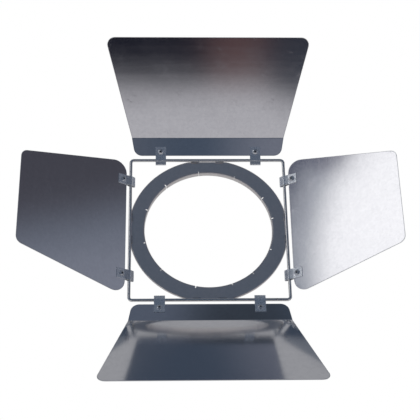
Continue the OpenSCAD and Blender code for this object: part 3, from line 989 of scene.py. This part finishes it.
# %% Make a door's sheet
def door_sheet(door):
    axes = axes_of[door]
    bm = merged_copy(door + "_leaf", axes)
    low, high = box_of([v.co for v in bm.verts])
    clips = [abs(((l + h) / 2).x) for l, h in islands(door + "_washers", axes)]
    hole_low, hole_high = islands(door + "_washers", axes)[0]
    hole_y = (hole_low.y + hole_high.y) / 2
    hole_x = sum(clips) / len(clips)
    outline = sharp_edges(bm, 60)
    away = [e for e in outline
            if all(abs(abs(v.co.x) - hole_x) > BOLT_REACH or abs(v.co.y - hole_y) > BOLT_REACH
                   for v in e.verts)]
    measure = outline_distance(bm, away)
    middle_line = Vector((0, (low.y + high.y) / 2, 0))
    straight, seen_lines = [], []
    for edge in away:
        a, b = edge.verts[0].co.copy(), edge.verts[1].co.copy()
        if edge.calc_length() < LONG_EDGE:
            continue
        side = Vector((-(b - a).y, (b - a).x, 0)).normalized()
        if (middle_line - a).dot(side) < 0:
            side = -side
        key = (round(side.x, 2), round(side.y, 2), round(a.xy.dot(side.xy), 4))
        if key not in seen_lines:
            seen_lines.append(key)
            straight.append((a, b, side))
    soften(bm, outline, SHEET_BEVEL)
    cut_grid(bm, low, high, GRID)
    rim_loops(bm, straight, (0.7 * MM, 2.2 * MM))
    measure()
    rim = bm.verts.layers.float["rim"]
    flat_map = bm.loops.layers.uv.new("sheet")
    for face in bm.faces:
        for loop in face.loops:
            loop[flat_map].uv = loop.vert.co.xy
    seed = Vector((DOORS.index(door) * 3.7, 1.3, 0))
    for vertex in bm.verts:
        x, y = vertex.co.xy
        hold = min(1.0, ((abs(x) - hole_x) ** 2 + (y - hole_y) ** 2) ** 0.5 / STILL_AT_BOLT)
        hold *= min(1.0, vertex[rim] / STILL_AT_RIM)
        wave = noise.noise(Vector((x, y, 0)) / WAVE_SIZE + seed)
        vertex.co.z += wave * WAVE_HEIGHT * hold * hold
    split_large(bm)
    finish_piece(door + "_leaf_sheet", to_mesh(bm), SHEET_METAL, door + "_door",
                 [door + "_leaf"], axes, crease=40)


for door in DOORS:
    door_sheet(door)

# %% [markdown]
# ## Hinge clips
#
# A clip is one strip folded back on itself round the rod, with its two flaps gripping the sheet.
# Strip this thick is sheared, so the edges are slightly rounded and the flap corners are broken.
# The solid gives the fold exactly, and a bevel on every sharp edge gives the rest.

# %% Fold the clips
CLIP_BEVEL = 0.16 * MM
CLIP_GRID = 3 * MM


def clip_strip(door, end):
    axes = axes_of[door]
    bm = merged_copy(door + "_clip_" + end, axes, flatness=0.2)
    rim = bm.verts.layers.float.new("rim")
    soften(bm, sharp_edges(bm, 50), CLIP_BEVEL)
    low, high = box_of([v.co for v in bm.verts])
    cut_grid(bm, low, high, CLIP_GRID)
    for vertex in bm.verts:
        x, y = vertex.co.x, vertex.co.y
        vertex[rim] = min(x - low.x, high.x - x, high.y - y)
    split_large(bm)
    finish_piece(door + "_clip_" + end + "_strip", to_mesh(bm), CLIP_ZINC, door + "_door",
                 [door + "_clip_" + end], axes)


for door in DOORS:
    for end in ("a", "b"):
        clip_strip(door, end)

# %% [markdown]
# ## Screws, washers and nuts
#
# Sixteen fasteners are three shapes, repeated. Each shape is drawn once as a spun section, and one
# Geometry Nodes recipe puts it on the two bolts of a door, each turned by a random angle, as no
# two screws stop at the same turn.

# %% Measure a bolt
def bolt_boxes(kind, door="upper"):
    return islands(door + "_" + kind, axes_of[door])


(screw_low, screw_high), (washer_low, washer_high), (nut_low, nut_high) = (
    bolt_boxes(kind)[0] for kind in ("screws", "washers", "nuts"))
HEAD_R = (screw_high.x - screw_low.x) / 2
WASHER_R = (washer_high.x - washer_low.x) / 2
NUT_FLATS = (nut_high.y - nut_low.y) / 2
HEAD_SEAT = -washer_high.z
SHANK_R = 1.95 * MM
HEAD_RIM = 0.5 * MM
print("screw head", round(2 * HEAD_R / MM, 2), "mm across, shank ends at",
      round(screw_low.z / MM, 2))


def spin_section(section, steps, closed=False):
    """Spins (radius, height) points round z. An open section must start and end on the axis."""
    bm = bmesh.new()
    hoops = []
    for r, z in section:
        if r < 1e-7:
            hoops.append([bm.verts.new((0, 0, z))])
        else:
            hoops.append([bm.verts.new(at_turn(r, 2 * math.pi * k / steps, z))
                          for k in range(steps)])
    pairs = list(zip(hoops, hoops[1:])) + ([(hoops[-1], hoops[0])] if closed else [])
    for one, two in pairs:
        for k in range(steps):
            corners = [one[k % len(one)], one[(k + 1) % len(one)],
                       two[(k + 1) % len(two)], two[k % len(two)]]
            face = [v for i, v in enumerate(corners) if v not in corners[:i]]
            bm.faces.new(face)
    return bm


# %% [markdown]
# The screw has a low truss head with a cross recess that tapers as it goes down, and a shank with
# a V thread. The thread is cut as true rings with a rise of one pitch a turn.

# %% Turn the screw
THREAD_PITCH = 0.7 * MM
THREAD_DEPTH = 0.36 * MM
SPIN = 40
HEAD_DOME_STEPS = 12


def dome_height(r):
    """The height of the head's dome at a distance from the screw's axis."""
    rise = screw_high.z - HEAD_SEAT - HEAD_RIM
    ball = (HEAD_R ** 2 + rise ** 2) / (2 * rise)
    return screw_high.z - ball + math.sqrt(max(0.0, ball ** 2 - r ** 2))


def screw_mesh():
    rim_top = HEAD_SEAT + HEAD_RIM
    section = [(0.0, screw_high.z)]
    for i in range(1, HEAD_DOME_STEPS + 1):
        r = HEAD_R * i / HEAD_DOME_STEPS * 0.985
        section.append((r, dome_height(r)))
    section += [(HEAD_R, rim_top - 0.06 * MM), (HEAD_R, HEAD_SEAT + 0.12 * MM),
                (HEAD_R - 0.12 * MM, HEAD_SEAT), (SHANK_R + 0.2 * MM, HEAD_SEAT),
                (SHANK_R, HEAD_SEAT - 0.2 * MM)]
    bottom = screw_low.z + 0.5 * MM
    thread_top = HEAD_SEAT - 0.4 * MM
    turns = int((thread_top - bottom) / THREAD_PITCH)
    for i in range(turns * 4):
        z = thread_top - THREAD_PITCH * i / 4
        section.append((SHANK_R - THREAD_DEPTH * (0.0, 0.5, 1.0, 0.5)[i % 4], z))
    core = SHANK_R - THREAD_DEPTH
    section += [(core, screw_low.z + 0.2 * MM), (core - 0.2 * MM, screw_low.z), (0.0, screw_low.z)]
    bm = spin_section(section, SPIN)
    for vertex in bm.verts:
        threaded = screw_low.z + 0.3 * MM < vertex.co.z < thread_top - 0.01 * MM
        if threaded and vertex.co.xy.length > 1e-6:
            turn = math.atan2(vertex.co.y, vertex.co.x) / (2 * math.pi) + 0.5
            vertex.co.z -= THREAD_PITCH * turn * 0.98
            vertex.co.z = max(vertex.co.z, screw_low.z + 0.25 * MM)
    return to_mesh(bm, "screw")


def recess_mesh():
    """The cross-shaped cutter: two tapered blades."""
    bm = bmesh.new()
    for turn in (0, math.pi / 2):
        made = bmesh.ops.create_cube(bm, size=1.0)["verts"]
        for vertex in made:
            upper = vertex.co.z > 0
            vertex.co.x *= (5.6 if upper else 2.4) * MM
            vertex.co.y *= (1.55 if upper else 1.1) * MM
            vertex.co.z = screw_high.z + (0.4 * MM if upper else -1.3 * MM)
        bmesh.ops.rotate(bm, verts=made, cent=(0, 0, 0), matrix=Matrix.Rotation(turn, 3, "Z"))
    return to_mesh(bm, "recess")


def carve(body_mesh, cutter_mesh):
    """Body minus cutter, as a plain mesh."""
    body, cutter = linked("carve", body_mesh), linked("carve", cutter_mesh)
    modifier = body.modifiers.new("carve", "BOOLEAN")
    modifier.object, modifier.operation, modifier.solver = cutter, "DIFFERENCE", "EXACT"
    modifier.use_self = True
    mesh = plain_mesh(body)
    bpy.data.objects.remove(cutter)
    return mesh


# %% [markdown]
# A hexagon nut is a prism whose corners are turned off on a lathe. Sinking each corner of a spun
# prism in proportion to its distance from the axis gives that chamfer without any Boolean.

# %% Washer and nut
def washer_mesh():
    inner, outer = 2.15 * MM, WASHER_R
    low, high, soft = washer_low.z, washer_high.z, 0.12 * MM
    section = [(inner, low + soft), (inner, high - soft), (inner + soft, high),
               (outer - soft * 1.5, high), (outer - soft * 0.4, high - soft * 0.4),
               (outer, high - soft * 1.5), (outer, low + soft), (outer - soft, low),
               (inner + soft, low)]
    return to_mesh(spin_section(section, 48, closed=True), "washer")


def nut_mesh():
    """A hexagon nut with chamfered corners, on a grid of rings and turns."""
    low, high = nut_low.z, nut_high.z
    steps = 60
    bm = bmesh.new()
    inner = 2.0 * MM
    corner = NUT_FLATS / math.cos(math.pi / 6)
    heights = [low + (high - low) * share for share in (0.0, 0.08, 0.18, 0.5, 0.82, 0.92, 1.0)]
    def hex_radius(a):
        return NUT_FLATS / math.cos((a + math.pi / 6) % (math.pi / 3) - math.pi / 6)
    hoops = []
    for z in heights:
        depth = min(z - low, high - z)
        turned = NUT_FLATS * 0.97 + depth * 1.75
        hoops.append([(min(hex_radius(2 * math.pi * k / steps), turned), z) for k in range(steps)])
    lead = 0.35 * MM
    rings = [[point] * steps for point in ((inner + lead, high), (inner, high - lead),
                                           (inner, low + lead), (inner + lead, low))]
    loops = []
    for ring in hoops + rings:
        loops.append([bm.verts.new(at_turn(r, 2 * math.pi * k / steps, z))
                      for k, (r, z) in enumerate(ring)])
    for one, two in zip(loops, loops[1:] + loops[:1]):
        for k in range(steps):
            bm.faces.new((one[k], one[(k + 1) % steps], two[(k + 1) % steps], two[k]))
    return to_mesh(bm, "nut")


def paint_recess_shade(mesh):
    """Paints shade into the cross recess: marks the points below the dome inside the head, which
    the fastener metal turns near black.
    """
    painted_recess_shade = mesh.attributes.new("painted_recess_shade", "FLOAT", "POINT")
    for vertex, mark in zip(mesh.vertices, painted_recess_shade.data):
        x, y, z = vertex.co
        r = math.hypot(x, y)
        sunk = HEAD_SEAT < z < dome_height(r) - 0.15 * MM
        mark.value = 1.0 if sunk and r < 3 * MM else 0.0
    return mesh


SHAPES = {"screw": paint_recess_shade(carve(screw_mesh(), recess_mesh())), "washer": washer_mesh(),
          "nut": nut_mesh()}
print({name: len(mesh.polygons) for name, mesh in SHAPES.items()})

# %% Fastener recipe
ON_BOLTS, given = new_recipe("fasteners on their bolts", (
    ("Fastener", "Object"), ("Seed", "Int"), ("Metal", "Material")))
shape = node(ON_BOLTS, "GeometryNodeObjectInfo", Object=given["Fastener"])
shape.inputs["As Instance"].default_value = True
spin = ON_BOLTS.nodes.new("FunctionNodeRandomValue")
spin.data_type = "FLOAT"
spin.inputs[2].default_value, spin.inputs[3].default_value = 0.0, 2 * math.pi
feed(ON_BOLTS, spin.inputs["Seed"], given["Seed"])
fitted = node(ON_BOLTS, "GeometryNodeInstanceOnPoints", Points=given["Geometry"],
              Instance=shape.outputs["Geometry"])
feed(ON_BOLTS, fitted.inputs["Rotation"], xyz(ON_BOLTS, Z=spin.outputs[1]))
end_recipe(ON_BOLTS, fitted.outputs[0], given["Metal"])

# %% Fit the fasteners
for number, (kind, shape_mesh) in enumerate(SHAPES.items()):
    sample = linked("sample_" + kind, shape_mesh)
    for door in DOORS:
        bolts = [(low + high) / 2 for low, high in bolt_boxes("washers", door)]
        places = points_mesh([(bolt.x, bolt.y, 0.0) for bolt in bolts])
        pair = run_recipe(ON_BOLTS, places, Fastener=sample, Seed=10 * DOORS.index(door) + number,
                          Metal=BOLT_ZINC)
        finish_piece(f"{door}_{kind}_pair", pair, BOLT_ZINC, door + "_door",
                     [f"{door}_{kind}s"], axes_of[door], crease=38)
    bpy.data.objects.remove(sample)
